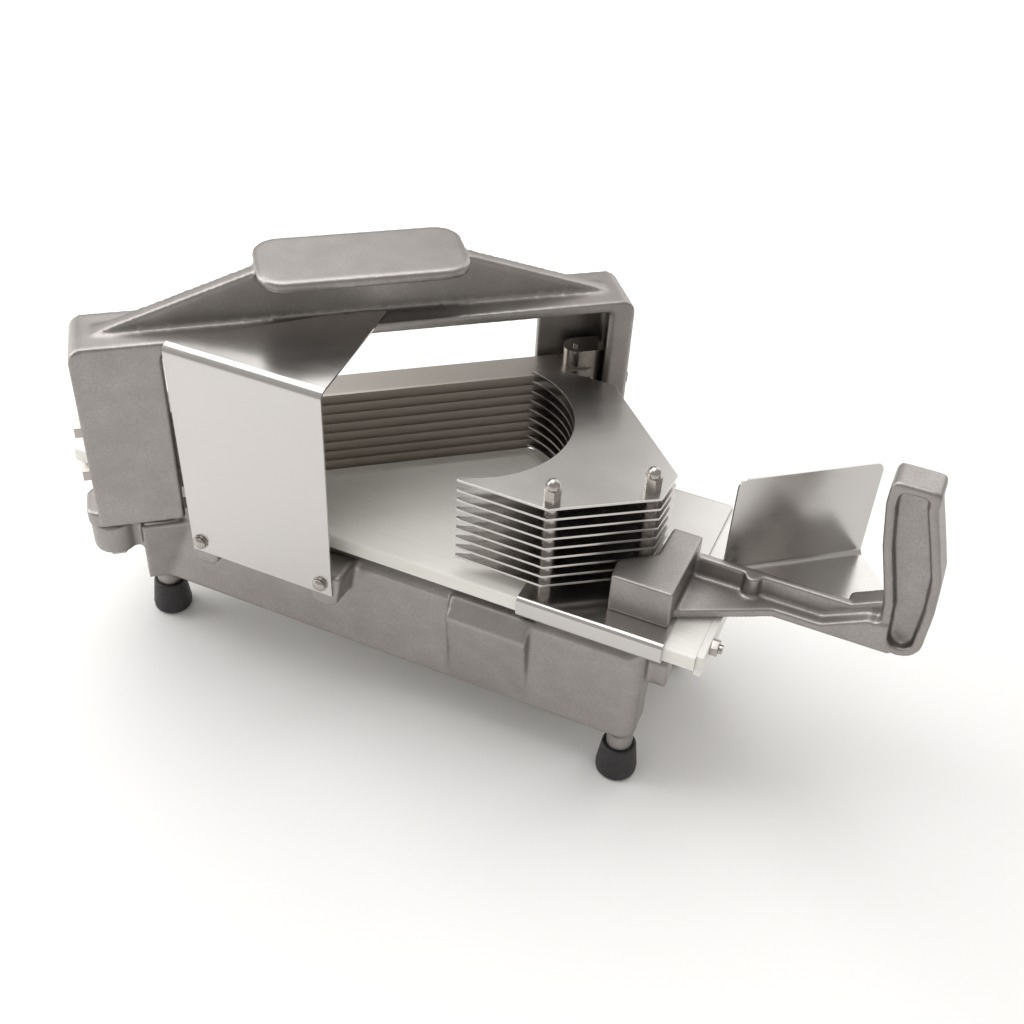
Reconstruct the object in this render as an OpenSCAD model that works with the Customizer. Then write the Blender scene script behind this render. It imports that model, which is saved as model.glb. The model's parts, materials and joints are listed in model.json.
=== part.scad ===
// Push-type tomato slicer for a restaurant kitchen.
// A cast base on four rubber feet carries a plastic slide board and a cast arch.
// The arch holds nine thin blades at a slant to the push direction. A pusher head
// of nine fins rides on the board and passes between the blades.
// Frame: +X towards the operator, +Y across, +Z up, Z = 0 on the table,
// origin under the middle of the whole length. Shown with the pusher drawn back.

/* [Slide board] */
// length of the slide board along the push direction
board_len = 380; // [300:1:460]
// width of the slide board
board_w = 124; // [100:1:160]
// thickness of the slide board
board_t = 9.5; // [6:0.5:13]
// distance from the blade centre to the operator's end of the board
board_reach = 225; // [180:1:280]
// thickness of the strip across the operator's end of the board
end_strip_t = 4; // [3:0.5:8]

/* [Base casting] */
// clear height under the casting
leg_h = 35; // [28:1:60]
// height of the casting's side walls
base_h = 65; // [50:1:90]
// wall thickness of the casting
base_wall = 5; // [3:0.5:8]
// how far the board stands over the casting on each side
board_overhang = 2; // [1:0.5:6]
// how far the board runs past the casting at the operator's end
end_overhang = 27; // [15:1:60]
// how far the board runs past the casting at the delivery end
tail_overhang = 37; // [20:1:70]
// height of the rails that the board lies on
rail_h = 5.5; // [4.5:0.5:9]

/* [Blades] */
// spacing of the blades, which is the slice thickness
pitch = 6.35; // [5:0.05:8]
// blade width
blade_w = 19; // [12:0.5:24]
// blade thickness
blade_t = 0.5; // [0.3:0.05:0.8]
// slant of the blades to the push direction, degrees
blade_angle = 38; // [30:1:45]

/* [Arch casting] */
// front to back depth of the arch
arch_depth = 36; // [30:1:50]
// height of the arch's lip above the board
arch_rise = 105; // [95:1:150]
// thickness of the lip under the web
lip_t = 6; // [4:0.5:10]
// thickness of the upright web
web_t = 9; // [6:0.5:14]
// thickness of the post walls
post_wall = 6; // [4:0.5:9]
// width of each post's broad wall
post_wide = 46; // [36:1:60]
// width of each post's narrow wall
post_narrow = 14; // [9:1:20]
// length of the hand pad on top
pad_len = 110; // [80:1:140]
// width of the hand pad
pad_w = 50; // [36:1:70]
// thickness of the hand pad
pad_t = 6; // [4:0.5:10]
// height of the hand pad's top above the lip
pad_rise = 32; // [24:1:50]

/* [Pusher] */
// length of the carriage along the board
carriage_len = 80; // [60:1:110]
// gap between the carriage and the end strip when the pusher is drawn back
rest_gap = 17; // [2:0.5:30]
// thickness of the carriage sheet
sheet_t = 1.5; // [1:0.1:2.5]
// thickness of each fin
fin_t = 1.5; // [1:0.1:2]
// radius of the cup that holds the fruit
cup_r = 55; // [42:1:62]
// height of the handle block
block_h = 23; // [16:1:32]
// height of the grip's top above the carriage
grip_h = 102.5; // [80:0.5:120]
// reach of the grip's far side past the carriage
grip_reach = 119; // [100:1:150]
// thickness of the grip
grip_t = 18.5; // [15:0.5:28]

/* [Guards] */
// thickness of the guard sheets
guard_t = 1.2; // [0.8:0.1:2]
// length of the feed guard along the board
feed_guard_len = 92; // [70:1:120]
// width of the hand guard
hand_guard_w = 80; // [60:1:110]
// height of the hand guard
hand_guard_h = 62; // [45:1:90]

/* [View] */
// sub-part to draw

/* [Hidden] */
$fn = 48;
count = 9;
run_gap = 0.3;
side_gap = 0.5;
screw_gap = 0.1;
fit_gap = 0.02;
cut = 1;

// board and base
board_top = leg_h + base_h + rail_h + board_t;
board_bottom = board_top - board_t;
board_x1 = (board_len + rest_gap - grip_reach) / 2;
blade_x = board_x1 - board_reach;
board_x0 = board_x1 - board_len;
board_edge_r = 1.2;
base_w = board_w - 2 * board_overhang;
base_x1 = board_x1 - end_overhang;
base_x0 = board_x0 + tail_overhang;
base_len = base_x1 - base_x0;
base_mid = (base_x0 + base_x1) / 2;
base_top = leg_h + base_h;
base_corner_r = 10;
rib_t = 5;
rib_lean = 15;
rib_in = 15;
rib_side = 12;
rib_run = 16;
ledge_drop = 4;
shoulder_w = 1.5 * ledge_drop;
foot_inset = 8;
foot_y = base_w / 2 - 10;
stub_r = 7.5;
boot_h = 22;
boot_floor = 7;
rail_y = board_w / 2 - 17;
rail_w = 10;
board_screw_x = [base_x0 + 30, base_x1 - 30];
board_screw_r = 2.5;
board_screw_in = 6;
end_stud_y = board_w / 2 - 17;
end_stud_z = board_bottom + board_t / 2;
end_stud_r = 2.5;
end_stud_in = 20;
end_stud_out = 6;
end_nut_h = 4;

// carriage, wrapped round the board's edges
carriage_w = board_w + 2 * (side_gap + sheet_t);
carriage_top = board_top + run_gap + sheet_t;
carriage_bottom = board_bottom - run_gap - sheet_t;
carriage_x1 = board_x1 - rest_gap;
carriage_x0 = carriage_x1 - carriage_len;
carriage_lip = 8;
bend_r = 3;

// fins and blades: each blade lies midway between two fins
first_gap = 6.9;
fin_z0 = carriage_top + first_gap + fin_t / 2;
blade_z0 = fin_z0 - pitch / 2;
fin_top = fin_z0 + (count - 1) * pitch + fin_t / 2;
blade_bevel = 2.5;

// arch, in its own turned frame: u along the blades, n across them
arch_shift = 3;
throat_gap = 8.6;
throat_half = (carriage_w / 2 + throat_gap) / sin(blade_angle);
comb_len = 20;
comb_w = 15;
comb_low = 3.8;
comb_high = 11.5;
tension_gap = 6;
arch_half = throat_half + comb_len + tension_gap + post_wall;
arch_top = board_top + arch_rise;
arch_r = 8;
lip_bottom = arch_top - lip_t;
post_bottom = base_top + 5;
ear_t = 10;
ear_w = 28;
ear_r = 8;
ear_cut = 8;
boss_r = 13;
boss_t = 20;
ear_u = arch_half - 4.5;
ear_n = 15;
ear_z0 = base_top - 12;
rib_drop = (ear_z0 - leg_h - 2) / cos(rib_lean);
arch_mid = [blade_x, 0] + arch_shift * [cos(blade_angle), sin(blade_angle)];
ear_dx = ear_u * cos(blade_angle) + ear_n * sin(blade_angle);
ear_dy = ear_u * sin(blade_angle) - ear_n * cos(blade_angle);
pad_shift = 2;
web_foot = 9;
pin_r = 2;
pin_u = throat_half + comb_w / 2 - 2;
slot_end = pin_u + comb_w / 2;
slot_h = blade_t + 2 * screw_gap;
blade_end = pin_u + 5;
tension_r = 3;
tension_in = throat_half + comb_len - slot_end - 0.5;
washer_t = 1.2;
tension_z = [blade_z0 + 1.7 * pitch, blade_z0 + 6.25 * pitch];

// fin outline, laid out from the cup's centre
cup_x = carriage_x1 - 136;
cup_y = -2;
fin_near = -board_w / 2 + 4.5;
fin_far = board_w / 2 - 1.5;
fin_tip = cup_x + 17;
fin_nose = [carriage_x1 - 69, fin_near];
fin_heel = [carriage_x1 - 21, fin_near + 34];
fin_hip = [carriage_x1 - 20, fin_near + 56];
fin_back = [carriage_x1 - 78, fin_far];

// studs stand in a line parallel to the blades
stud_r = 2.5;
stud_gap = 52.5;
along = [cos(blade_angle), sin(blade_angle)];
stud_near = [carriage_x1 - 69.6, fin_near + 6.9];
studs = [stud_near, stud_near + stud_gap * along];
spacer_r = 4;
nut_h = 4;
nut_flats = 8;
csk_h = sheet_t;
csk_r = 4.2;

// handle casting
block_x0 = carriage_x1 - 35;
block_x1 = carriage_x1 - 2;
block_y0 = -board_w / 2 + 12;
block_y1 = 1;
block_top = carriage_top + block_h;
arm_z0 = carriage_top;
arm_flange_t = 5.2;
arm_rib_h = 12;
arm_rib_t = 4.7;
arm_y = -7;
arm_near = 10.5;
arm_far = 20;
arm_flange_z1 = arm_z0 + arm_flange_t;
arm_rib_z1 = arm_flange_z1 + arm_rib_h;
grip_x1 = carriage_x1 + grip_reach;
grip_x0 = grip_x1 - 37;
grip_z0 = carriage_top;
grip_z1 = carriage_top + grip_h;
grip_y0 = arm_y - grip_t / 2;
grip_y1 = arm_y + grip_t / 2;
grip_rim = 4.8;
grip_recess = 6;
// circles along the grip's middle: x, z and r, from the foot up
grip_line = [[grip_x1 - 11.4, grip_z0 + 11, 11], [grip_x1 - 12.1, grip_z0 + 32, 12.1],
             [grip_x1 - 15, grip_z0 + 50, 13.6], [grip_x1 - 19.6, grip_z0 + 67, 13.4],
             [grip_x1 - 24.9, grip_z0 + 90, 11.9]];
grip_top_r = 4;
handle_screws = [[block_x0 + 9, block_y0 + 7], [block_x1 - 8, block_y0 + 7], [block_x1 - 8, block_y1 - 9]];
handle_screw_r = 2;
handle_screw_len = 16;

// guards
guard_y = -(carriage_w / 2 + 15);
guard_z1 = arch_top + guard_t;
guard_z0 = base_top - 13;
guard_r = 5;
guard_lean = 2.6;
// the guard starts where its bend clears the arch's front face
guard_u = (guard_y + guard_r - 0.5 - arch_mid.y + arch_depth / 2 * cos(blade_angle)) / sin(blade_angle);
guard_x0 = arch_mid.x + guard_u * cos(blade_angle) + arch_depth / 2 * sin(blade_angle);
guard_x1 = guard_x0 + feed_guard_len;

lug_w = 16;
lug_z0 = guard_z0 - 10;
lug_h = 23;
bulge_len = 47;
bulge_out = 8;
guard_screw_xs = [guard_x0 + 8, guard_x1 - 7];
guard_screw_z = guard_z0 + 7;
guard_screw_r = 2;
hg_start = [carriage_x1 + 11, -0.6];
hg_u0 = hg_start * along;
hg_n = -hg_start.x * sin(blade_angle) + hg_start.y * cos(blade_angle);
hg_u1 = hg_u0 + hand_guard_w;
hg_depth = 36;
hg_bend_r = 4.2;
hg_corner_r = 5;
hg_z0 = arm_flange_z1;
hg_z1 = hg_z0 + hand_guard_h;
hg_tab_y = arm_y + arm_rib_t / 2;
hg_tab_x = [carriage_x1 + 16, carriage_x1 + 68];
hg_tab_h = 10;
hg_tab_r = 2.5;
hg_screw_x = [carriage_x1 + 29.5, carriage_x1 + 56];
hg_screw_z = arm_flange_z1 + 6.5;
hg_screw_r = 2;
hg_screw_in = 3.6;

alu = [0.62, 0.60, 0.59];
polished = [0.80, 0.80, 0.81];
steel = [0.72, 0.71, 0.70];
white = [0.92, 0.92, 0.90];
black = [0.08, 0.08, 0.08];

// ---------- helpers ----------

// turned frame of the arch: u along the blades from the arch's middle, n across them
module in_arch() {
  translate([blade_x, 0, 0])
    rotate([0, 0, blade_angle])
      translate([arch_shift, 0, 0])
        children();
}

// the same thing at both ends of the arch, turned half round
module both_posts() {
  for (a = [0, 180])
    rotate([0, 0, a])
      children();
}

// rectangle with rounded corners, centred
module rounded(w, h, r) {
  square([w - 2 * r, h], center = true);
  square([w, h - 2 * r], center = true);
  for (x = [-1, 1], y = [-1, 1])
    translate([x * (w / 2 - r), y * (h / 2 - r)])
      circle(r);
}

// box between two corners
module span(a, b) {
  translate(a)
    cube(b - a);
}

// extrude a profile drawn in X and Z along Y, from y0 to y1
module along_y(y0, y1) {
  translate([0, y1, 0])
    rotate([90, 0, 0])
      linear_extrude(y1 - y0)
        children();
}

// extrude a profile drawn in Y and Z along X, from x0 to x1
module along_x(x0, x1) {
  translate([x0, 0, 0])
    rotate([90, 0, 90])
      linear_extrude(x1 - x0)
        children();
}

// profile of a sheet bent square, corner at the origin: leg a along X, leg b along Y
module bend(a, b, t, r) {
  difference() {
    union() {
      square([a, t]);
      square([t, b]);
      square(r);
    }
    translate([r, r])
      circle(r - t);
    difference() {
      translate([-cut, -cut])
        square(r + cut);
      translate([r, r])
        circle(r);
    }
  }
}

// hexagonal prism standing on Z = 0, by its width across flats
module hex(flats, h) {
  cylinder(h = h, r = flats / sqrt(3), $fn = 6);
}

// pan head with a rounded top, standing on Z = 0
module pan_head(r, h) {
  rotate_extrude()
    intersection() {
      square([r, h]);
      translate([0, h - 1.6 * r])
        circle(1.6 * r);
    }
}

// countersunk bolt: head down at Z = 0, shank up
module csk_bolt(r, h) {
  cylinder(h = csk_h, r1 = csk_r * r / stud_r, r2 = r);
  cylinder(h = h, r = r);
}

// hole for a countersunk bolt, with its clearance
module csk_hole(r, h) {
  translate([0, 0, -cut])
    cylinder(h = cut + screw_gap, r = csk_r * r / stud_r + screw_gap);
  translate([0, 0, screw_gap])
    cylinder(h = csk_h, r1 = csk_r * r / stud_r + screw_gap, r2 = r + screw_gap);
  cylinder(h = h, r = r + screw_gap);
}

// ---------- base ----------

module foot_places() {
  for (x = [base_x0 + foot_inset, base_x1 - foot_inset], y = [-foot_y, foot_y])
    translate([x, y, 0])
      children();
}

// walls and deck of the base, open underneath
module base_shell() {
  difference() {
    translate([base_mid, 0, leg_h])
      linear_extrude(base_h)
        rounded(base_len, base_w, base_corner_r);
    translate([base_mid, 0, leg_h - cut])
      linear_extrude(base_h - base_wall + cut)
        rounded(base_len - 2 * base_wall, base_w - 2 * base_wall, base_corner_r - base_wall);
    // sloping shoulders under the board's edges
    for (s = [-1, 1])
      along_x(base_x0 - cut, base_x1 + cut)
        polygon([[s * (base_w / 2 - shoulder_w - 1.5), base_top + 1],
                 [s * (base_w / 2 + shoulder_w), base_top + 1],
                 [s * (base_w / 2 + shoulder_w), base_top - 2 * ledge_drop]]);
    // windows in the deck
    for (x = [base_x0 + base_len * 0.27, base_x0 + base_len * 0.73])
      translate([x, 0, base_top - base_wall - cut])
        linear_extrude(base_wall + 2 * cut)
          rounded(base_len * 0.36, 2 * rail_y - rail_w - 16, 12);
    // arched end walls between the legs
    along_x(base_x0 - cut, base_x1 + cut)
      translate([0, leg_h])
        rounded(base_w - 50, 2 * (base_h - 28), 16);
  }
}

// bracket on the base's corner that carries one post of the arch; side is -1 or 1
module post_bracket(side) {
  boss = arch_mid + side * [ear_dx, ear_dy];
  // where the arm meets the wall, kept on the base's length
  near_x = side < 0 ? max(boss.x + 26, base_x0 + 22) : min(boss.x - 26, base_x1 - 22);
  far_x = side < 0 ? max(boss.x + 8, base_x0 + 4) : min(boss.x - 8, base_x1 - 4);
  wall = side * (base_w / 2 - 2 * cut);
  translate([boss.x, boss.y, ear_z0 - boss_t])
    cylinder(h = boss_t, r = boss_r);
  // arm from the boss to the side wall
  translate([0, 0, ear_z0 - boss_t])
    linear_extrude(boss_t)
      polygon([[boss.x + side * boss_r, boss.y], [boss.x - side * boss_r, boss.y],
               [near_x, wall], [far_x, wall]]);
  // leaning triangular rib from the wall out to the boss
  rib_head = arch_mid + side * [(ear_u - rib_in) * cos(blade_angle) + (ear_n - rib_side) * sin(blade_angle),
                                (ear_u - rib_in) * sin(blade_angle) - (ear_n - rib_side) * cos(blade_angle)];
  rib_reach = (abs(rib_head.y) - base_w / 2 + base_wall / 2) / sin(blade_angle);
  translate([rib_head.x, rib_head.y, ear_z0 - 1])
    rotate([0, 0, blade_angle + (side < 0 ? 0 : 180)])
      rotate([rib_lean, 0, 0])
        along_y(-rib_t / 2, rib_t / 2)
          polygon([[0, 0], [rib_reach, 0], [rib_reach - rib_run, -rib_drop], [-1, -rib_drop]]);
}

// tapered lug that the feed guard is screwed to
module guard_lug(x) {
  along_y(guard_y + guard_t, -base_w / 2 + cut)
    translate([x, lug_z0])
      polygon([[-lug_w / 2, lug_h], [lug_w / 2 + 4, lug_h], [lug_w / 2 + 1, 4],
               [lug_w / 2 - 3, 0], [3 - lug_w / 2, 0], [-lug_w / 2, 4]]);
}

// wedge on the side wall, widest near its top
module side_bulge() {
  bx0 = base_x0 + base_len * 0.655;
  along_x(bx0, bx0 + bulge_len)
    polygon([[-base_w / 2 + cut, leg_h], [-base_w / 2, leg_h + cut], [-base_w / 2 - bulge_out, base_top - 11],
             [-base_w / 2, base_top - 0.5], [-base_w / 2 + 6, base_top - 0.5]]);
}

module base_casting() {
  color(alu)
    difference() {
      union() {
        base_shell();
        // rails under the board
        for (s = [-1, 1])
          span([base_x0 + 10, s * rail_y - rail_w / 2, base_top - cut],
               [base_x1 - 10, s * rail_y + rail_w / 2, board_bottom]);
        // corner legs, necked down for the rubber boots
        foot_places() {
          translate([0, 0, leg_h])
            cylinder(h = base_h - base_wall, r = stub_r + 1);
          translate([0, 0, boot_floor])
            cylinder(h = leg_h, r = stub_r);
        }
        side_bulge();
        for (x = guard_screw_xs)
          guard_lug(x);
        for (side = [-1, 1])
          post_bracket(side);
        // lug on the operator's end wall
        along_x(base_x1 - cut, base_x1 + 11)
          translate([-base_w / 2 + 20, base_top - 22])
            rounded(12, 20, 5);
      }
      in_arch()
        both_posts()
          translate([-ear_u, ear_n, ear_z0 - boss_t - cut])
            cylinder(h = boss_t + 2 * cut, r = 4 + screw_gap);
      // screws that hold the board down
      for (x = board_screw_x, s = [-1, 1])
        translate([x, s * rail_y, base_top - base_wall - cut])
          cylinder(h = base_wall + rail_h + 2 * cut, r = board_screw_r + screw_gap);
      // screws of the feed guard
      for (x = guard_screw_xs)
        translate([x, guard_y, guard_screw_z])
          rotate([-90, 0, 0])
            cylinder(h = 14, r = guard_screw_r + screw_gap);
    }
}

// rubber boot pressed on a leg, open at the top
module foot() {
  color(black)
    rotate_extrude()
      polygon([[0, 0], [10, 0], [11.5, 1.5], [11.7, 5], [9.7, boot_h - 1], [9.2, boot_h],
               [stub_r + fit_gap, boot_h], [stub_r + fit_gap, boot_floor], [0, boot_floor]]);
}

module foot_front_left() {
  translate([base_x0 + foot_inset, -foot_y, 0])
    foot();
}

module foot_front_right() {
  translate([base_x1 - foot_inset, -foot_y, 0])
    foot();
}

module foot_rear_left() {
  translate([base_x0 + foot_inset, foot_y, 0])
    foot();
}

module foot_rear_right() {
  translate([base_x1 - foot_inset, foot_y, 0])
    foot();
}

// ---------- slide board ----------

module slide_board() {
  color(white)
    difference() {
      along_x(board_x0, board_x1)
        translate([0, (board_top + board_bottom) / 2])
          rounded(board_w, board_t, board_edge_r);
      for (x = board_screw_x, s = [-1, 1])
        translate([x, s * rail_y, board_bottom - cut])
          cylinder(h = board_screw_in + cut + screw_gap, r = board_screw_r + screw_gap);
      for (s = [-1, 1])
        translate([board_x1 - end_stud_in - screw_gap, s * end_stud_y, end_stud_z])
          rotate([0, 90, 0])
            cylinder(h = end_stud_in + 2 * cut, r = end_stud_r + screw_gap);
    }
}

// strip across the board's end; it hangs below the board to stop the carriage
module end_strip() {
  color(white)
    difference() {
      span([board_x1, -board_w / 2 + 2, board_bottom - 4], [board_x1 + end_strip_t, board_w / 2 - 2, board_top]);
      for (s = [-1, 1])
        translate([board_x1 - cut, s * end_stud_y, end_stud_z])
          rotate([0, 90, 0])
            cylinder(h = end_strip_t + 2 * cut, r = end_stud_r + screw_gap);
    }
}

module end_studs() {
  color(steel)
    for (s = [-1, 1])
      translate([board_x1 - end_stud_in, s * end_stud_y, end_stud_z])
        rotate([0, 90, 0])
          cylinder(h = end_stud_in + end_strip_t + end_stud_out, r = end_stud_r);
}

module end_nuts() {
  color(steel)
    for (s = [-1, 1])
      translate([board_x1 + end_strip_t, s * end_stud_y, end_stud_z])
        rotate([0, 90, 0])
          difference() {
            hex(nut_flats, end_nut_h);
            translate([0, 0, -cut])
              cylinder(h = end_nut_h + 2 * cut, r = end_stud_r + screw_gap);
          }
}

// pan heads under the deck, shanks up through the rails into the board
module board_screws() {
  color(steel)
    for (x = board_screw_x, s = [-1, 1])
      translate([x, s * rail_y, base_top - base_wall]) {
        cylinder(h = base_wall + rail_h + board_screw_in, r = board_screw_r);
        mirror([0, 0, 1])
          pan_head(4.5, 3);
      }
}

// ---------- arch ----------

// broad wall in front and narrow flange behind, open into the throat, at the -u end
module post_hollow() {
  half_depth = arch_depth / 2;
  web = post_wall - 1;
  u0 = -arch_half + post_wall;
  // pocket between the walls
  span([u0, -half_depth + web, 0], [-throat_half + 20, half_depth - web, lip_bottom]);
  // behind the pocket, past the narrow flange
  span([-arch_half + post_narrow, 0, 0], [-throat_half + 20, half_depth + cut, lip_bottom]);
  // the walls stop short of the bracket, except above the ear
  span([ear_cut - arch_half, -half_depth - cut, 0], [0, half_depth + cut, post_bottom]);
  span([-arch_half - cut, -half_depth - cut, 0], [0, ear_n + 2 - ear_w / 2, post_bottom]);
}

module arch_body() {
  difference() {
    // outline with rounded shoulders
    along_y(-arch_depth / 2, arch_depth / 2) {
      translate([-arch_half, ear_z0])
        square([2 * arch_half, arch_top - arch_r - ear_z0]);
      translate([-arch_half + arch_r, ear_z0])
        square([2 * (arch_half - arch_r), arch_top - ear_z0]);
      for (s = [-1, 1])
        translate([s * (arch_half - arch_r), arch_top - arch_r])
          circle(arch_r);
    }
    // throat between the posts, with small fillets under the lip
    along_y(-arch_depth, arch_depth)
      translate([0, lip_bottom - 200])
        rounded(2 * (arch_half - post_wide), 400, 4);
    both_posts()
      post_hollow();
  }
  // upright web that carries the hand pad
  along_y(-web_t / 2, web_t / 2)
    polygon([[web_foot - arch_half, arch_top - cut], [pad_shift - pad_len / 2 + 4, arch_top + pad_rise - 2],
             [pad_shift + pad_len / 2 - 4, arch_top + pad_rise - 2], [arch_half - web_foot, arch_top - cut]]);
  translate([pad_shift, 0, arch_top + pad_rise - pad_t])
    linear_extrude(pad_t)
      rounded(pad_len, pad_w, 14);
}

// ear that the post is bolted down by
module post_ear() {
  translate([0.5 - ear_u, ear_n + 2, ear_z0])
    linear_extrude(ear_t)
      rounded(ear_w, ear_w, ear_r);
}

module arch_frame() {
  color(alu)
    difference() {
      in_arch() {
        arch_body();
        both_posts()
          post_ear();
      }
      // clear of the base's side walls
      translate([base_mid, 0, 0])
        linear_extrude(base_top + cut)
          square([base_len + 2 * side_gap, base_w + 2 * side_gap], center = true);
      // bores for the arch bolts and the tension bolts
      in_arch()
        both_posts() {
          translate([-ear_u, ear_n, ear_z0 - cut])
            cylinder(h = ear_t - 1, r = 4 + screw_gap);
          for (z = tension_z)
            translate([-arch_half - cut, 0, z])
              rotate([0, 90, 0])
                cylinder(h = post_wall + 2 * cut, r = tension_r + 0.3);
        }
    }
}

// hex bolts from below, through the brackets into the ears
module arch_bolts() {
  color(steel)
    in_arch()
      both_posts()
        translate([-ear_u, ear_n, ear_z0 - boss_t]) {
          cylinder(h = boss_t + ear_t - 3, r = 4);
          translate([0, 0, -5.3])
            hex(13, 5.3);
        }
}

// ---------- blades ----------

// strip blade, ground on the edge that faces the pusher, with a hole at each end
module blade(k) {
  color(steel)
    translate([0, 0, blade_z0 + k * pitch])
      in_arch()
        difference() {
          rotate([90, 0, 90])
            translate([0, 0, -blade_end])
              linear_extrude(2 * blade_end)
                polygon([[-blade_w / 2, 0], [blade_bevel - blade_w / 2, blade_t / 2],
                         [blade_w / 2, blade_t / 2], [blade_w / 2, -blade_t / 2],
                         [blade_bevel - blade_w / 2, -blade_t / 2]]);
          for (s = [-1, 1])
            translate([s * pin_u, 0, -cut])
              cylinder(h = 2 * cut, r = pin_r + screw_gap);
        }
}

module blade_1() { blade(0); }
module blade_2() { blade(1); }
module blade_3() { blade(2); }
module blade_4() { blade(3); }
module blade_5() { blade(4); }
module blade_6() { blade(5); }
module blade_7() { blade(6); }
module blade_8() { blade(7); }
module blade_9() { blade(8); }

// slotted bar that holds the blade ends, drawn at the -u end of the arch
module blade_holder() {
  z0 = blade_z0 - comb_low;
  z1 = blade_z0 + (count - 1) * pitch + comb_high;
  color(polished)
    difference() {
      union() {
        span([-throat_half - comb_len, -comb_w / 2, z0], [-pin_u, comb_w / 2, z1]);
        translate([-pin_u, 0, z0])
          cylinder(h = z1 - z0, r = comb_w / 2);
      }
      for (k = [0 : count - 1])
        translate([-slot_end, -comb_w, blade_z0 + k * pitch - slot_h / 2])
          cube([2 * comb_len, 2 * comb_w, slot_h]);
      translate([-pin_u, 0, z0 - cut])
        cylinder(h = z1 - z0 + 2 * cut, r = pin_r + screw_gap / 2);
      for (z = tension_z)
        translate([-throat_half - comb_len - cut, 0, z])
          rotate([0, 90, 0])
            cylinder(h = tension_in + cut + screw_gap, r = tension_r + screw_gap);
    }
}

module blade_holder_left() {
  in_arch()
    blade_holder();
}

module blade_holder_right() {
  in_arch()
    rotate([0, 0, 180])
      blade_holder();
}

// pins through the blade ends, one in each holder
module blade_pins() {
  z0 = blade_z0 - comb_low;
  z1 = blade_z0 + (count - 1) * pitch + comb_high;
  color(steel)
    in_arch()
      for (s = [-1, 1])
        translate([s * pin_u, 0, z0])
          cylinder(h = z1 - z0 + 1.5, r = pin_r);
}

module tension_bolts() {
  for (z = tension_z)
    translate([-arch_half - washer_t, 0, z])
      rotate([0, 90, 0]) {
        cylinder(h = washer_t + post_wall + tension_gap + tension_in, r = tension_r);
        translate([0, 0, -4])
          hex(10, 4);
      }
}

module tension_bolts_left() {
  color(steel)
    in_arch()
      tension_bolts();
}

module tension_bolts_right() {
  color(steel)
    in_arch()
      rotate([0, 0, 180])
        tension_bolts();
}

module tension_washers() {
  color(steel)
    in_arch()
      both_posts()
        for (z = tension_z)
          translate([-arch_half - washer_t, 0, z])
            rotate([0, 90, 0])
              difference() {
                cylinder(h = washer_t, r = 6);
                translate([0, 0, -cut])
                  cylinder(h = washer_t + 2 * cut, r = tension_r + screw_gap);
              }
}

// ---------- feed guard ----------

// where a sheet on the lip stops short of the web, at a place x along the board
function web_y(x) =
  (x - blade_x) * tan(blade_angle) - (web_t / 2 + run_gap) / cos(blade_angle);

module feed_guard() {
  color(polished)
    difference() {
      intersection() {
        // bent section: top sheet resting on the arch's lip, front sheet hanging from it
        along_x(guard_x0, guard_x1)
          translate([guard_y, guard_z1])
            mirror([0, 1])
              bend(2 * arch_half, guard_z1 - guard_z0, guard_t, guard_r);
        // the top sheet is cut off short of the web
        linear_extrude(2 * arch_top)
          polygon([[guard_x0, guard_y - cut], [guard_x1, guard_y - cut], [guard_x1, guard_y + guard_r],
                   [guard_x1 - 8, web_y(guard_x1 - 18) + 4], [guard_x1 - 18, web_y(guard_x1 - 18)],
                   [guard_x1 - 26, web_y(guard_x1 - 26) - 0.6], [guard_x0, guard_y + guard_r]]);
      }
      // the edge beside the post leans a little
      along_y(guard_y - cut, guard_y + guard_r)
        polygon([[guard_x0 - cut, guard_z0 - cut], [guard_x0 + guard_lean, guard_z0 - cut],
                 [guard_x0, guard_z1 - guard_r], [guard_x0 - cut, guard_z1 - guard_r]]);
      for (x = guard_screw_xs)
        translate([x, guard_y - cut, guard_screw_z])
          rotate([-90, 0, 0])
            cylinder(h = guard_t + 2 * cut, r = guard_screw_r + 0.3);
    }
}

module guard_washers() {
  color(steel)
    for (x = guard_screw_xs)
      translate([x, guard_y - 0.8, guard_screw_z])
        rotate([-90, 0, 0])
          difference() {
            cylinder(h = 0.8, r = 4.5);
            translate([0, 0, -cut])
              cylinder(h = 0.8 + 2 * cut, r = guard_screw_r + screw_gap);
          }
}

module guard_screws() {
  color(steel)
    for (x = guard_screw_xs)
      translate([x, guard_y - 0.8, guard_screw_z]) {
        rotate([-90, 0, 0])
          cylinder(h = 0.8 + 12, r = guard_screw_r);
        rotate([90, 0, 0])
          pan_head(3.8, 2.6);
      }
}

// ---------- pusher ----------

// sheet wrapped round the edges of the board
module carriage_plate() {
  z_mid = (carriage_top + carriage_bottom) / 2;
  color(polished)
    difference() {
      along_x(carriage_x0, carriage_x1)
        translate([0, z_mid])
          difference() {
            rounded(carriage_w, carriage_top - carriage_bottom, bend_r);
            rounded(carriage_w - 2 * sheet_t, carriage_top - carriage_bottom - 2 * sheet_t, bend_r - sheet_t);
            translate([0, -board_t])
              square([carriage_w - 2 * carriage_lip, 2 * board_t - 4], center = true);
          }
      for (p = studs)
        translate([p.x, p.y, carriage_top - sheet_t])
          csk_hole(stud_r, 10);
      for (p = handle_screws)
        translate([p.x, p.y, carriage_top - sheet_t])
          csk_hole(handle_screw_r, 10);
    }
}

// long countersunk bolts that carry the fins
module fin_studs() {
  color(steel)
    for (p = studs)
      translate([p.x, p.y, carriage_top - sheet_t])
        csk_bolt(stud_r, fin_top - carriage_top + sheet_t + 11);
}

module spacer(z0, z1) {
  for (p = studs)
    translate([p.x, p.y, z0])
      difference() {
        cylinder(h = z1 - z0, r = spacer_r);
        translate([0, 0, -cut])
          cylinder(h = z1 - z0 + 2 * cut, r = stud_r + screw_gap);
      }
}

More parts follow.
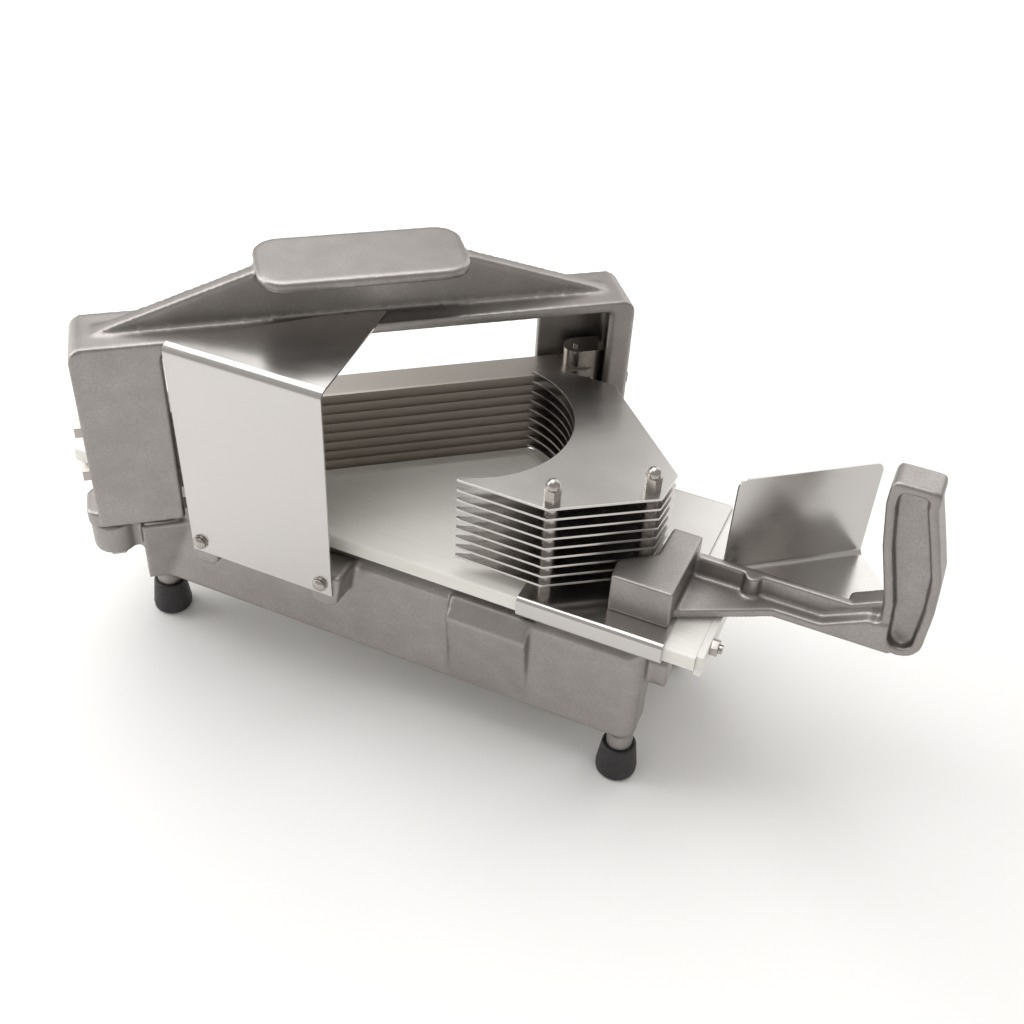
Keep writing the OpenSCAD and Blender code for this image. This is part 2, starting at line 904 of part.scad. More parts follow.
module fin_spacers() {
  color(steel) {
    spacer(carriage_top, fin_z0 - fin_t / 2);
    for (k = [0 : count - 2])
      spacer(fin_z0 + k * pitch + fin_t / 2, fin_z0 + (k + 1) * pitch - fin_t / 2);
  }
}

module fin(k) {
  color(polished)
    translate([0, 0, fin_z0 + k * pitch - fin_t / 2])
      linear_extrude(fin_t)
        difference() {
          polygon([[fin_tip, fin_near + 1], fin_nose, fin_heel, fin_hip, fin_back,
                   [cup_x + 29, fin_far], [cup_x + 8, fin_far - 10.5], [cup_x, cup_y]]);
          translate([cup_x, cup_y])
            circle(cup_r);
          for (p = studs)
            translate(p)
              circle(stud_r + screw_gap);
        }
}

module fin_1() { fin(0); }
module fin_2() { fin(1); }
module fin_3() { fin(2); }
module fin_4() { fin(3); }
module fin_5() { fin(4); }
module fin_6() { fin(5); }
module fin_7() { fin(6); }
module fin_8() { fin(7); }
module fin_9() { fin(8); }

module stud_nuts() {
  color(steel)
    for (p = studs)
      translate([p.x, p.y, fin_top])
        difference() {
          hex(nut_flats, nut_h);
          translate([0, 0, -cut])
            cylinder(h = nut_h + 2 * cut, r = stud_r + screw_gap);
        }
}

module acorn_nuts() {
  color(steel)
    for (p = studs)
      translate([p.x, p.y, fin_top + nut_h])
        difference() {
          union() {
            hex(nut_flats, 4.5);
            cylinder(h = 6, r = 3.6);
            translate([0, 0, 6])
              sphere(3.6);
          }
          translate([0, 0, -cut])
            cylinder(h = cut + 7.5, r = stud_r + screw_gap);
        }
}

// outline round a ring of circles [x, y, r], listed counter-clockwise
function belt_points(c) =
  [for (i = [0 : len(c) - 1])
    let (p = c[i], q = c[(i + 1) % len(c)], d = [q.x - p.x, q.y - p.y], l = norm(d),
         s = (p.z - q.z) / l, n = (s * d + sqrt(1 - s * s) * [d.y, -d.x]) / l)
      each [[p.x, p.y] + p.z * n, [q.x, q.y] + q.z * n]];

module belt(c) {
  polygon(belt_points(c));
  for (p = c)
    translate([p.x, p.y])
      circle(p.z);
}

// side view of the grip, drawn in X and Z and shrunk by inset: bowed, with a square top
module grip_outline(inset) {
  line = [for (c = grip_line) [c.x, c.y, c.z - inset]];
  for (i = [0 : len(line) - 2])
    belt([line[i], line[i + 1]]);
  top = line[len(line) - 1];
  corner_z = grip_z1 - inset - grip_top_r;
  belt([[top.x - top.z + grip_top_r, top.y, grip_top_r], [top.x + top.z - grip_top_r, top.y, grip_top_r],
        [top.x + top.z - grip_top_r, corner_z, grip_top_r], [top.x - top.z + grip_top_r, corner_z, grip_top_r]]);
}

// plan of the arm's flange
module arm_outline() {
  polygon([[block_x1 - cut, block_y0 + 8], [carriage_x1 + 43.5, arm_y - arm_near], [grip_x0 + 22, arm_y - arm_near],
           [grip_x0 + 22, grip_y1 - cut], [grip_x0 + 10, grip_y1],
           [grip_x0 - 4, arm_y + arm_far], [carriage_x1 + 32, arm_y + arm_far],
           [carriage_x1 + 12, arm_y + 9], [block_x1 - cut, arm_y + 6]]);
}

// block on the carriage, ribbed arm and upright grip, in one casting
module handle_casting() {
  color(alu)
    difference() {
      union() {
        // block, cut back along the fins' edge
        translate([0, 0, carriage_top])
          linear_extrude(block_h)
            polygon([[block_x0, block_y0], [block_x1, block_y0], [block_x1, block_y1],
                     [fin_heel.x + 2.5, block_y1], [fin_heel.x + 2, fin_heel.y + 0.5],
                     [fin_heel.x, fin_heel.y - 1.6], [block_x0 - 1.2, block_y0 + 13.6]]);
        translate([0, 0, arm_z0])
          linear_extrude(arm_flange_t)
            arm_outline();
        // upright rib, with a boss for the guard's first screw
        span([block_x1 - cut, arm_y - arm_rib_t / 2, arm_z0], [grip_x0 + 20, arm_y + arm_rib_t / 2, arm_rib_z1]);
        translate([hg_screw_x[0], arm_y - 2.5, arm_z0])
          cylinder(h = arm_rib_z1 - arm_z0, r = 4.5);
        // shoulder that runs up into the grip
        along_y(arm_y - arm_near, hg_tab_y)
          polygon([[grip_x0 - 14, arm_z0], [grip_x0 - 14, arm_flange_z1], [grip_x0 + 8, arm_rib_z1],
                   [grip_x0 + 22, arm_rib_z1], [grip_x0 + 22, arm_z0]]);
        // web that carries the rib's top up the side of the grip
        along_y(arm_y - arm_rib_t / 2, grip_y1)
          polygon([[grip_x0 - 4, arm_z0], [grip_x0 - 4, arm_rib_z1 - 1], [grip_x0 + 14, arm_rib_z1 + 9],
                   [grip_x0 + 20, arm_z0]]);
        along_y(grip_y0, grip_y1)
          grip_outline(0);
      }
      // recess in each face of the grip
      for (y = [arm_y - arm_near - cut, grip_y1 - grip_recess])
        along_y(y, y + grip_recess + (y < arm_y ? arm_near - grip_t / 2 : 0) + cut)
          grip_outline(grip_rim);
      for (p = handle_screws)
        translate([p.x, p.y, carriage_top - sheet_t])
          csk_hole(handle_screw_r, handle_screw_len + 1);
      // blind holes of the guard's screws
      for (x = hg_screw_x)
        translate([x, hg_tab_y - hg_screw_in - screw_gap, hg_screw_z])
          rotate([-90, 0, 0])
            cylinder(h = hg_screw_in + screw_gap + cut, r = hg_screw_r + screw_gap);
    }
}

module handle_screws_csk() {
  color(steel)
    for (p = handle_screws)
      translate([p.x, p.y, carriage_top - sheet_t])
        csk_bolt(handle_screw_r, handle_screw_len);
}

// bent sheet between the hand and the blades, parallel to the blades
module hand_guard_panels() {
  difference() {
    rotate([0, 0, blade_angle])
      difference() {
        along_x(hg_u0, hg_u1)
          translate([hg_n, hg_z0])
            mirror([1, 0])
              bend(hg_depth, hand_guard_h, guard_t, hg_bend_r);
        // rounded upper corners
        for (u = [hg_u0, hg_u1])
          along_y(hg_n - 10, hg_n + 10)
            difference() {
              translate([u - hg_corner_r, hg_z1 - hg_corner_r])
                square(2 * hg_corner_r);
              translate([u + (u == hg_u0 ? hg_corner_r : -hg_corner_r), hg_z1 - hg_corner_r])
                circle(hg_corner_r);
            }
      }
    // cut off beside the arm's rib
    span([0, -2 * board_w, hg_z0 - cut], [2 * grip_x1, hg_tab_y + hg_tab_r, hg_z1 + cut]);
  }
}

// tab bent up along the arm's rib, with the two screw holes
module hand_guard_tab() {
  difference() {
    along_x(hg_tab_x[0], hg_tab_x[1])
      translate([hg_tab_y, hg_z0])
        bend(8, hg_tab_h, guard_t, hg_tab_r);
    for (x = hg_screw_x)
      translate([x, hg_tab_y - cut, hg_screw_z])
        rotate([-90, 0, 0])
          cylinder(h = guard_t + 2 * cut, r = hg_screw_r + screw_gap);
  }
}

module hand_guard() {
  color(polished) {
    hand_guard_panels();
    hand_guard_tab();
  }
}

module hand_guard_screws() {
  color(steel)
    for (x = hg_screw_x)
      translate([x, hg_tab_y + guard_t, hg_screw_z]) {
        rotate([90, 0, 0])
          cylinder(h = guard_t + hg_screw_in, r = hg_screw_r);
        rotate([-90, 0, 0])
          pan_head(3.3, 2.4);
      }
}

base_casting();
arch_frame();
foot_front_left();
foot_front_right();
foot_rear_left();
foot_rear_right();
slide_board();
end_strip();
end_studs();
end_nuts();
board_screws();
feed_guard();
guard_washers();
guard_screws();
blade_1();
blade_2();
blade_3();
blade_4();
blade_5();
blade_6();
blade_7();
blade_8();
blade_9();
blade_holder_left();
blade_holder_right();
blade_pins();
tension_washers();
tension_bolts_left();
tension_bolts_right();
arch_bolts();
carriage_plate();
fin_studs();
fin_spacers();
fin_1();
fin_2();
fin_3();
fin_4();
fin_5();
fin_6();
fin_7();
fin_8();
fin_9();
stud_nuts();
acorn_nuts();
handle_casting();
handle_screws_csk();
hand_guard();
hand_guard_screws();
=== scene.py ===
"""Looks of a push-type tomato slicer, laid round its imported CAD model."""

import json
import math

import bpy
from bpy.props import FloatProperty, FloatVectorProperty, IntProperty, PointerProperty
from mathutils import Matrix, Vector


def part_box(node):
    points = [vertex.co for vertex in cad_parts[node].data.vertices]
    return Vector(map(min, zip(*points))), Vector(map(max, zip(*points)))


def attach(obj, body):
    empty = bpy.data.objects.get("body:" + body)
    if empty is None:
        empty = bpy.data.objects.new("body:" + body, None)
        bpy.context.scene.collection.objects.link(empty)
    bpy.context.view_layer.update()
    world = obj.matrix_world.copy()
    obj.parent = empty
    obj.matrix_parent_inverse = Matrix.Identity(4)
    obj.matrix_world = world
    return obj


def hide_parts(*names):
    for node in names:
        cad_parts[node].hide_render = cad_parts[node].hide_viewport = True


bl_info = {
    "name": "Tomato slicer",
    "version": (1, 0, 0),
    "blender": (4, 5, 0),
    "location": "3D View > Sidebar > Slicer",
    "description": "Castings, sheet guards, blades, board and fittings of a push-type slicer",
    "category": "Object",
}

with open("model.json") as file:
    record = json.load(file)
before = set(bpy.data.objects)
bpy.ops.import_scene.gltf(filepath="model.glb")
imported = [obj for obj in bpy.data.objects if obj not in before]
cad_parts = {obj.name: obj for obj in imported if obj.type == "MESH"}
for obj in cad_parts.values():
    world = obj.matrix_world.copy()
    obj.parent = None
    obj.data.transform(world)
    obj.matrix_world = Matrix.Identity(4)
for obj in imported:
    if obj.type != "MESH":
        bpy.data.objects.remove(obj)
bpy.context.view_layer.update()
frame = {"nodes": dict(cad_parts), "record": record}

MM = 0.001
# edges that turn by more than this are broken by a bevel and shaded as edges
SMOOTH_ANGLE = math.radians(35)
BODY_OF = {node: body for body, nodes in frame["record"]["behaviour"]["bodies"].items() for node in nodes}
BLADES = [f"blade_{k}" for k in range(1, 10)]
FINS = [f"fin_{k}" for k in range(1, 10)]
BOOTS = ["foot_front_left", "foot_front_right", "foot_rear_left", "foot_rear_right"]
# the blades and the hand guard stand at this angle to the board's length
BLADE_ANGLE = math.radians(38)

# corners closer than this are one point, and faces that meet at less than this angle are one face
MERGE_GAP = 0.002 * MM
FLAT_ANGLE = math.radians(0.5)

# broken edges of made parts
BLADE_EDGE = 0.04 * MM
HOLDER_EDGE = 0.15 * MM
FASTENER_EDGE = 0.25 * MM
BOARD_EDGE = 0.4 * MM
MOULDED_EDGE = 0.6 * MM

# soft boxes: name, place, size and power; all face a point a little above the floor
LIGHT_AIM = (0, 0, 0.1)
SOFT_BOXES = (
    ("top_soft_box", (-0.5, 0.2, 1.5), 1.6, 20),
    ("left_soft_box", (-1.6, -0.3, 0.7), 1.2, 14),
    ("back_soft_box", (0.5, 1.5, 0.9), 1.4, 8),
)
WORLD_STRENGTH = 0.55

# the camera stands past the board's end, to the left of the operator and well above
CAMERA_PAST_BOARD = 78.5 * MM
CAMERA_ACROSS = -518.3 * MM
CAMERA_HEIGHT = 576.0 * MM
SENSOR_WIDTH = 36


# ---------- colours and shader nodes ----------


def linear(hex_colour):
    """Linear RGBA of an sRGB hex colour."""
    parts = [int(hex_colour[i : i + 2], 16) / 255 for i in (1, 3, 5)]
    return (*[c / 12.92 if c <= 0.04045 else ((c + 0.055) / 1.055) ** 2.4 for c in parts], 1.0)


def add(tree, kind, inputs=None, **settings):
    """Adds a shader node with its settings; an input is a value or the socket it is linked from."""
    node = tree.nodes.new(kind)
    for name, value in settings.items():
        setattr(node, name, value)
    for name, value in (inputs or {}).items():
        if isinstance(value, bpy.types.NodeSocket):
            tree.links.new(value, node.inputs[name])
        else:
            node.inputs[name].default_value = value
    return node


def noise(tree, place, size, detail):
    """Noise with patches about size across."""
    inputs = {"Vector": place, "Scale": 1 / size, "Detail": detail}
    return add(tree, "ShaderNodeTexNoise", inputs).outputs["Fac"]


def relief(tree, height, strength, distance):
    """A bump as high as distance."""
    inputs = {"Strength": strength, "Distance": distance, "Height": height}
    return add(tree, "ShaderNodeBump", inputs).outputs[0]


def product(tree, first, second):
    """The two values multiplied."""
    return add(tree, "ShaderNodeMath", {0: first, 1: second}, operation="MULTIPLY").outputs[0]


def new_material(name):
    """An empty node material, its node tree and the object coordinates that its patterns read."""
    material = bpy.data.materials.new(name)
    material.use_nodes = True
    tree = material.node_tree
    tree.nodes.clear()
    return material, tree, add(tree, "ShaderNodeTexCoord").outputs["Object"]


def finish_material(tree, shader):
    """Links the shader to the material's output."""
    add(tree, "ShaderNodeOutputMaterial", {"Surface": shader.outputs[0]})


def along(tree, place, turn, stretch):
    """Coordinates turned about Z and squeezed, so that a pattern runs long in the turned X direction."""
    scale = (1, 1 / stretch, 1 / stretch)
    inputs = {"Vector": place, "Rotation": (0, 0, turn), "Scale": scale}
    return add(tree, "ShaderNodeMapping", inputs, vector_type="TEXTURE")


def cast_aluminium(dark, light):
    """Tumbled aluminium casting: a warm grey satin skin that breaks up highlights with fine grain."""
    material, tree, place = new_material("tumbled_cast_aluminium")
    # the skin's patches are about 15 mm across
    patches = noise(tree, place, 15 * MM, 3.0)
    # the tumbling stone leaves a grain near 0.3 mm, drawn at 0.9 mm so that it shows
    grain = noise(tree, place, 0.9 * MM, 2.0)
    waves = noise(tree, place, 7 * MM, 1.0)
    mixed = product(tree, patches, grain)
    share = add(tree, "ShaderNodeMapRange", {"Value": mixed, "From Min": 0.05, "From Max": 0.45})
    colour = add(tree, "ShaderNodeMix", {"Factor": share.outputs[0], "A": dark, "B": light}, data_type="RGBA")
    rough = add(
        tree,
        "ShaderNodeMapRange",
        {"Value": grain, "From Min": 0.3, "From Max": 0.7, "To Min": 0.5, "To Max": 0.36},
    )
    dents = relief(tree, waves, 0.12, 0.25 * MM)
    skin = add(
        tree,
        "ShaderNodeBump",
        {"Strength": 0.35, "Distance": 0.1 * MM, "Height": grain, "Normal": dents},
    )
    shader = add(
        tree,
        "ShaderNodeBsdfPrincipled",
        {
            "Base Color": colour.outputs["Result"],
            "Metallic": 1.0,
            "Roughness": rough.outputs[0],
            "Normal": skin.outputs[0],
        },
    )
    finish_material(tree, shader)
    return material


def polished_sheet(name, colour, turn, low, high):
    """Rolled and polished sheet: a soft mirror whose faint rolling lines smear reflections."""
    material, tree, place = new_material(name)
    turned = along(tree, place, turn, 30)
    # rolling lines near 0.1 mm apart, drawn at 0.6 mm so that they show
    lines = noise(tree, turned.outputs[0], 18 * MM, 3.0)
    clouds = noise(tree, place, 25 * MM, 2.0)
    mixed = product(tree, lines, clouds)
    rough = add(
        tree,
        "ShaderNodeMapRange",
        {"Value": mixed, "From Min": 0.15, "From Max": 0.35, "To Min": low, "To Max": high},
    )
    fine = relief(tree, lines, 0.02, 0.05 * MM)
    shader = add(
        tree,
        "ShaderNodeBsdfPrincipled",
        {"Base Color": colour, "Metallic": 1.0, "Roughness": rough.outputs[0], "Normal": fine},
    )
    finish_material(tree, shader)
    return material


def ground_strip(colour):
    """Ground spring-steel strip: satin, with faint grinding lines that run along the blade."""
    material, tree, place = new_material("ground_blade_steel")
    turned = along(tree, place, BLADE_ANGLE, 60)
    # grinding lines near 0.05 mm apart, drawn at 0.3 mm so that they show
    lines = noise(tree, turned.outputs[0], 18 * MM, 2.0)
    rough = add(
        tree,
        "ShaderNodeMapRange",
        {"Value": lines, "From Min": 0.3, "From Max": 0.7, "To Min": 0.3, "To Max": 0.38},
    )
    shader = add(
        tree,
        "ShaderNodeBsdfPrincipled",
        {"Base Color": colour, "Metallic": 1.0, "Roughness": rough.outputs[0]},
    )
    finish_material(tree, shader)
    return material


def board_plastic(colour, worn):
    """Milled white polyethylene board: soft and slightly see-through, with faint sliding marks along it."""
    material, tree, place = new_material("milled_white_polyethylene")
    stretched = along(tree, place, 0.0, 40)
    marks = noise(tree, stretched.outputs[0], 30 * MM, 3.0)
    share = add(tree, "ShaderNodeMapRange", {"Value": marks, "From Min": 0.55, "From Max": 0.8})
    tone = add(tree, "ShaderNodeMix", {"Factor": share.outputs[0], "A": colour, "B": worn}, data_type="RGBA")
    rough = add(
        tree,
        "ShaderNodeMapRange",
        {"Value": marks, "From Min": 0.3, "From Max": 0.7, "To Min": 0.34, "To Max": 0.5},
    )
    bump = relief(tree, marks, 0.1, 0.05 * MM)
    shader = add(
        tree,
        "ShaderNodeBsdfPrincipled",
        {
            "Base Color": tone.outputs["Result"],
            "Roughness": rough.outputs[0],
            "IOR": 1.53,
            "Subsurface Weight": 0.25,
            "Subsurface Radius": (3 * MM, 3 * MM, 2.6 * MM),
            "Subsurface Scale": 1.0,
            "Normal": bump,
        },
    )
    finish_material(tree, shader)
    return material


def boot_rubber(colour):
    """Moulded black rubber: dull, with a slightly dusty skin."""
    material, tree, place = new_material("moulded_black_rubber")
    dust = noise(tree, place, 2.5 * MM, 3.0)
    rough = add(
        tree,
        "ShaderNodeMapRange",
        {"Value": dust, "From Min": 0.3, "From Max": 0.7, "To Min": 0.45, "To Max": 0.65},
    )
    bump = relief(tree, dust, 0.2, 0.1 * MM)
    shader = add(
        tree,
        "ShaderNodeBsdfPrincipled",
        {"Base Color": colour, "Roughness": rough.outputs[0], "IOR": 1.52, "Normal": bump},
    )
    finish_material(tree, shader)
    return material


def paper_floor(colour):
    """Plain studio paper."""
    material, tree, place = new_material("studio_paper")
    fibres = noise(tree, place, 4 * MM, 2.0)
    bump = relief(tree, fibres, 0.02, 0.1 * MM)
    shader = add(
        tree,
        "ShaderNodeBsdfPrincipled",
        {"Base Color": colour, "Roughness": 0.9, "Specular IOR Level": 0.1, "Normal": bump},
    )
    finish_material(tree, shader)
    return material


# ---------- shapes ----------


def only(obj):
    """Makes obj the one selected and active object."""
    if bpy.context.object and bpy.context.object.mode != "OBJECT":
        bpy.ops.object.mode_set(mode="OBJECT")
    bpy.ops.object.select_all(action="DESELECT")
    obj.select_set(True)
    bpy.context.view_layer.objects.active = obj


def copy_of(node, name):
    """A copy of a CAD node as a new piece: loose triangles merged and flat faces joined."""
    source = frame["nodes"][node]
    piece = bpy.data.objects.new(name, source.data.copy())
    bpy.context.collection.objects.link(piece)
    only(piece)
    bpy.ops.object.mode_set(mode="EDIT")
    bpy.ops.mesh.select_all(action="SELECT")
    bpy.ops.mesh.remove_doubles(threshold=MERGE_GAP)
    bpy.ops.mesh.customdata_custom_splitnormals_clear()
    bpy.ops.mesh.dissolve_limited(angle_limit=FLAT_ANGLE)
    bpy.ops.object.mode_set(mode="OBJECT")
    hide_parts(node)
    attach(piece, BODY_OF[node])
    return piece


def apply_modifier(piece, kind, **settings):
    """Adds a modifier with its settings and applies it."""
    modifier = piece.modifiers.new(kind.title(), kind)
    for key, value in settings.items():
        setattr(modifier, key, value)
    only(piece)
    bpy.ops.object.modifier_apply(modifier=modifier.name)


def cast_copy(node, name, voxel, passes, material):
    """A copy of a casting with the rounded edges and filled corners that a mould leaves."""
    piece = copy_of(node, name)
    apply_modifier(piece, "REMESH", mode="VOXEL", voxel_size=voxel, adaptivity=0.0)
    apply_modifier(piece, "SMOOTH", factor=0.5, iterations=passes)
    bpy.ops.object.shade_smooth()
    dress(piece, material)
    return piece


def edged_copy(node, name, width, segments, material):
    """A copy of a made part with its sharp edges broken by a small bevel."""
    piece = copy_of(node, name)
    apply_modifier(
        piece,
        "BEVEL",
        width=width,
        segments=segments,
        limit_method="ANGLE",
        angle_limit=SMOOTH_ANGLE,
        harden_normals=False,
        use_clamp_overlap=True,
    )
    only(piece)
    bpy.ops.object.shade_smooth_by_angle(angle=SMOOTH_ANGLE)
    apply_modifier(piece, "WEIGHTED_NORMAL", mode="FACE_AREA", weight=100, keep_sharp=True)
    dress(piece, material)
    return piece


def dress(piece, material):
    """Gives a piece one material."""
    piece.data.materials.clear()
    piece.data.materials.append(material)


# ---------- settings ----------


class CastingSettings(bpy.types.PropertyGroup):
    voxel: FloatProperty(
        name="Cell",
        description="Size of the cells that round the casting",
        default=1.3 * MM,
        unit="LENGTH",
    )
    passes: IntProperty(name="Rounding", description="How often the edges are rounded", default=5, min=1)
    dark: FloatVectorProperty(
        name="Dark",
        description="Darker grey of the skin",
        default=linear("#96918E"),
        size=4,
        subtype="COLOR",
    )
    light: FloatVectorProperty(
        name="Light",
        description="Lighter grey of the skin",
        default=linear("#A6A29F"),
        size=4,
        subtype="COLOR",
    )


class SheetSettings(bpy.types.PropertyGroup):
    edge: FloatProperty(
        name="Edge", description="Width of the broken edge", default=0.2 * MM, unit="LENGTH"
    )
    colour: FloatVectorProperty(
        name="Colour",
        description="Colour of the polished sheet",
        default=linear("#C8C5C2"),
        size=4,
        subtype="COLOR",
    )
    blade_colour: FloatVectorProperty(
        name="Blades",
        description="Colour of the ground blades",
        default=linear("#9F9993"),
        size=4,
        subtype="COLOR",
    )
    fastener_colour: FloatVectorProperty(
        name="Fasteners",
        description="Colour of the plated fasteners",
        default=linear("#AEA9A3"),
        size=4,
        subtype="COLOR",
    )


class PlasticSettings(bpy.types.PropertyGroup):
    board: FloatVectorProperty(
        name="Board",
        description="Colour of the board",
        default=linear("#EFEDE7"),
        size=4,
        subtype="COLOR",
    )
    worn: FloatVectorProperty(
        name="Marks",
        description="Colour of the board's faint marks",
        default=linear("#E2DFD7"),
        size=4,
        subtype="COLOR",
    )
    rubber: FloatVectorProperty(
        name="Boots",
        description="Colour of the rubber boots",
        default=linear("#262425"),
        size=4,
        subtype="COLOR",
    )


class StageSettings(bpy.types.PropertyGroup):
    azimuth: FloatProperty(
        name="Azimuth",
        description="Turn of the camera round the slicer",
        default=math.radians(21.687),
        subtype="ANGLE",
    )
    elevation: FloatProperty(
        name="Elevation",
        description="Height angle of the camera",
        default=math.radians(39.498),
        subtype="ANGLE",
    )
    roll: FloatProperty(
        name="Roll",
        description="Tilt of the camera about its view",
        default=math.radians(3.499),
        subtype="ANGLE",
    )
    lens: FloatProperty(
        name="Lens", description="Focal length in millimetres", default=45.28, subtype="DISTANCE_CAMERA"
    )
    floor: FloatProperty(name="Floor", description="Width of the floor", default=8.0, unit="LENGTH")


# ---------- pieces ----------


class SLICER_OT_castings(bpy.types.Operator):
    """Base, arch and handle castings"""

    bl_idname = "slicer.castings"
    bl_label = "Castings"

    def execute(self, context):
        settings = context.scene.slicer_casting
        material = cast_aluminium(settings.dark, settings.light)
        # the smaller the casting, the finer its cells
        for node, name, share in (
            ("base_casting", "cast_base", 1.15),
            ("arch_frame", "cast_arch", 1.0),
            ("handle_casting", "cast_handle", 0.75),
        ):
            cast_copy(node, name, settings.voxel * share, settings.passes, material)
        return {"FINISHED"}


class SLICER_OT_sheets(bpy.types.Operator):
    """Guards, carriage and fins of polished sheet"""

    bl_idname = "slicer.sheets"
    bl_label = "Sheet pieces"

    def execute(self, context):
        settings = context.scene.slicer_sheet
        lengthwise = polished_sheet("polished_aluminium_sheet", settings.colour, 0.0, 0.21, 0.25)
        for node in ["feed_guard", "carriage_plate", *FINS]:
            edged_copy(node, f"sheet_{node}", settings.edge, 2, lengthwise)
        slanted = polished_sheet("polished_guard_sheet", settings.colour, BLADE_ANGLE, 0.22, 0.27)
        edged_copy("hand_guard", "sheet_hand_guard", settings.edge, 2, slanted)
        return {"FINISHED"}


class SLICER_OT_blades(bpy.types.Operator):
    """Blades, their slotted holders and pins"""

    bl_idname = "slicer.blades"
    bl_label = "Blades and holders"

    def execute(self, context):
        settings = context.scene.slicer_sheet
        ground = ground_strip(settings.blade_colour)
        for node in BLADES:
            edged_copy(node, f"strip_{node}", BLADE_EDGE, 1, ground)
        bright = polished_sheet("bright_machined_steel", settings.fastener_colour, 0.0, 0.14, 0.26)
        for node in ("blade_holder_left", "blade_holder_right", "blade_pins"):
            edged_copy(node, f"slotted_{node}", HOLDER_EDGE, 2, bright)
        return {"FINISHED"}


class SLICER_OT_plastics(bpy.types.Operator):
    """Slide board, end strip and rubber boots"""

    bl_idname = "slicer.plastics"
    bl_label = "Board and boots"

    def execute(self, context):
        settings = context.scene.slicer_plastic
        white = board_plastic(settings.board, settings.worn)
        edged_copy("slide_board", "board_slide", BOARD_EDGE, 2, white)
        edged_copy("end_strip", "board_end_strip", MOULDED_EDGE, 3, white)
        rubber = boot_rubber(settings.rubber)
        for node in BOOTS:
            edged_copy(node, f"boot_{node}", MOULDED_EDGE, 3, rubber)
        return {"FINISHED"}


class SLICER_OT_fasteners(bpy.types.Operator):
    """Screws, nuts, washers, studs and spacers"""

    bl_idname = "slicer.fasteners"
    bl_label = "Fasteners"

    def execute(self, context):
        settings = context.scene.slicer_sheet
        plated = polished_sheet("bright_nickel_plate", settings.fastener_colour, 0.0, 0.2, 0.3)
        for node, source in list(frame["nodes"].items()):
            if not source.hide_render:
                edged_copy(node, f"plated_{node}", FASTENER_EDGE, 2, plated)
        return {"FINISHED"}


class SLICER_OT_stage(bpy.types.Operator):
    """Floor, soft lights and camera"""

    bl_idname = "slicer.stage"
    bl_label = "Stage"

    def execute(self, context):
        settings = context.scene.slicer_stage
        bpy.ops.object.select_all(action="DESELECT")
        bpy.ops.mesh.primitive_plane_add(size=settings.floor, location=(0, 0, 0))
        floor = bpy.context.object
        floor.name = "paper_floor"
        dress(floor, paper_floor(linear("#F4F3F2")))
        for name, place, size, power in SOFT_BOXES:
            soft_light(name, place, LIGHT_AIM, size, power)
        world = bpy.data.worlds.new("studio_air")
        world.use_nodes = True
        background = world.node_tree.nodes["Background"]
        background.inputs["Color"].default_value = linear("#F8F6F3")
        background.inputs["Strength"].default_value = WORLD_STRENGTH
        context.scene.world = world
        context.scene.view_settings.view_transform = "Standard"
        set_camera(context, settings)
        return {"FINISHED"}


def soft_light(name, place, aim, size, power):
    """A square soft box at place that faces aim."""
    bpy.ops.object.light_add(type="AREA", location=place)
    light = bpy.context.object
    light.name = name
    light.data.shape = "SQUARE"
    light.data.size = size
    light.data.energy = power
    light.rotation_euler = (Vector(aim) - Vector(place)).to_track_quat("-Z", "Y").to_euler()


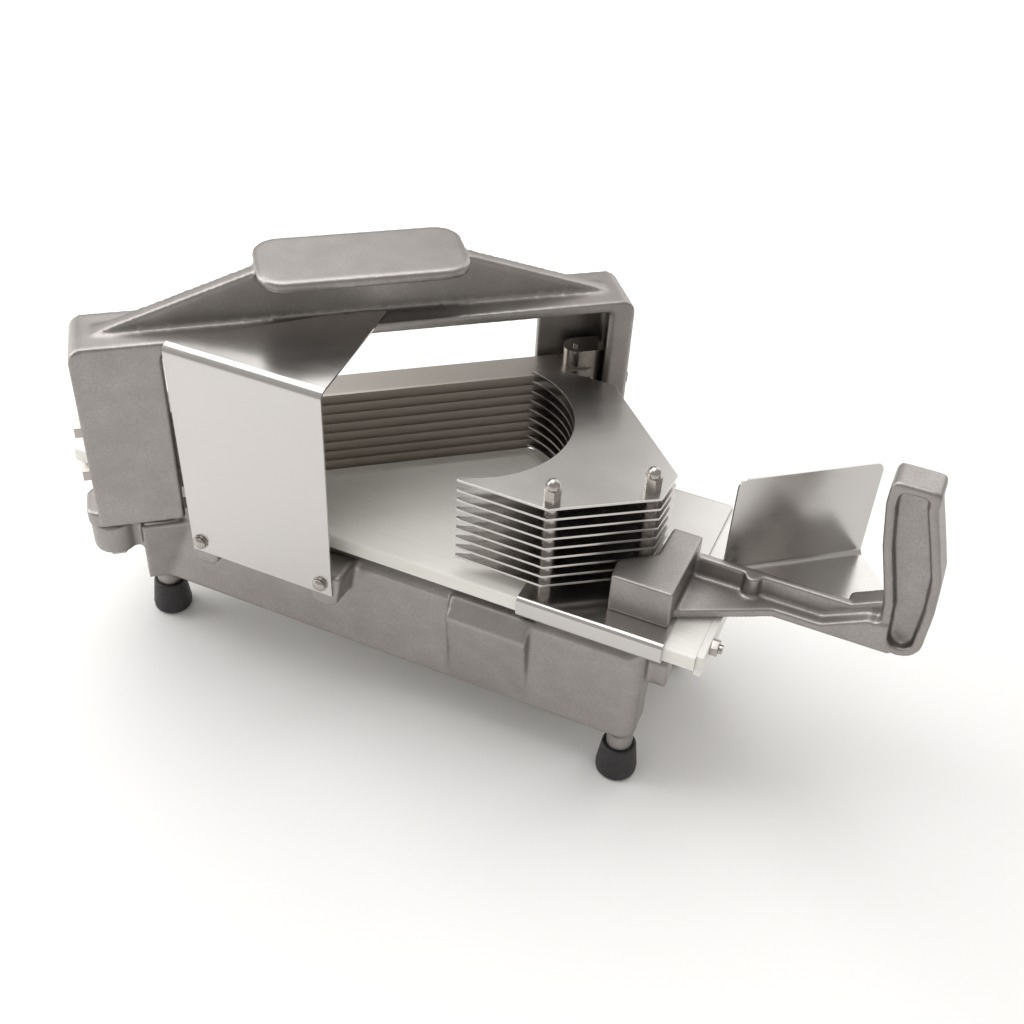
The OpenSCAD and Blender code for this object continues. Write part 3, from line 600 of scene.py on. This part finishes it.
def set_camera(context, settings):
    """Camera at its angles, placed from the operator's end of the board."""
    azimuth, elevation, roll = settings.azimuth, settings.elevation, settings.roll
    level_share = math.cos(elevation)
    view = Vector(
        (-math.sin(azimuth) * level_share, math.cos(azimuth) * level_share, -math.sin(elevation))
    )
    level = Vector((math.cos(azimuth), math.sin(azimuth), 0))
    upright = level.cross(view)
    right = math.cos(roll) * level + math.sin(roll) * upright
    up = -math.sin(roll) * level + math.cos(roll) * upright
    bpy.ops.object.camera_add()
    camera = bpy.context.object
    camera.name = "view_camera"
    board_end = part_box("slide_board")[1][0]
    place = Vector((board_end + CAMERA_PAST_BOARD, CAMERA_ACROSS, CAMERA_HEIGHT))
    turn = Matrix((right, up, -view)).transposed().to_4x4()
    camera.matrix_world = Matrix.Translation(place) @ turn
    camera.data.sensor_width = SENSOR_WIDTH
    camera.data.lens = settings.lens
    camera.data.clip_start = 0.01
    context.scene.camera = camera


class SLICER_PT_panel(bpy.types.Panel):
    bl_idname = "SLICER_PT_panel"
    bl_label = "Tomato slicer"
    bl_space_type = "VIEW_3D"
    bl_region_type = "UI"
    bl_category = "Slicer"

    def draw(self, context):
        for operator in OPERATORS:
            self.layout.operator(operator.bl_idname)


OPERATORS = (
    SLICER_OT_castings,
    SLICER_OT_sheets,
    SLICER_OT_blades,
    SLICER_OT_plastics,
    SLICER_OT_fasteners,
    SLICER_OT_stage,
)
SETTINGS = {
    "slicer_casting": CastingSettings,
    "slicer_sheet": SheetSettings,
    "slicer_plastic": PlasticSettings,
    "slicer_stage": StageSettings,
}


def register():
    for group in SETTINGS.values():
        bpy.utils.register_class(group)
    for name, group in SETTINGS.items():
        setattr(bpy.types.Scene, name, PointerProperty(type=group))
    for cls in (*OPERATORS, SLICER_PT_panel):
        bpy.utils.register_class(cls)


def unregister():
    for cls in reversed((*OPERATORS, SLICER_PT_panel)):
        bpy.utils.unregister_class(cls)
    for name in SETTINGS:
        delattr(bpy.types.Scene, name)
    for group in reversed(SETTINGS.values()):
        bpy.utils.unregister_class(group)


def main():
    register()
    bpy.ops.slicer.castings()
    bpy.ops.slicer.sheets()
    bpy.ops.slicer.blades()
    bpy.ops.slicer.plastics()
    bpy.ops.slicer.fasteners()
    bpy.ops.slicer.stage()


if __name__ == "__main__":
    main()
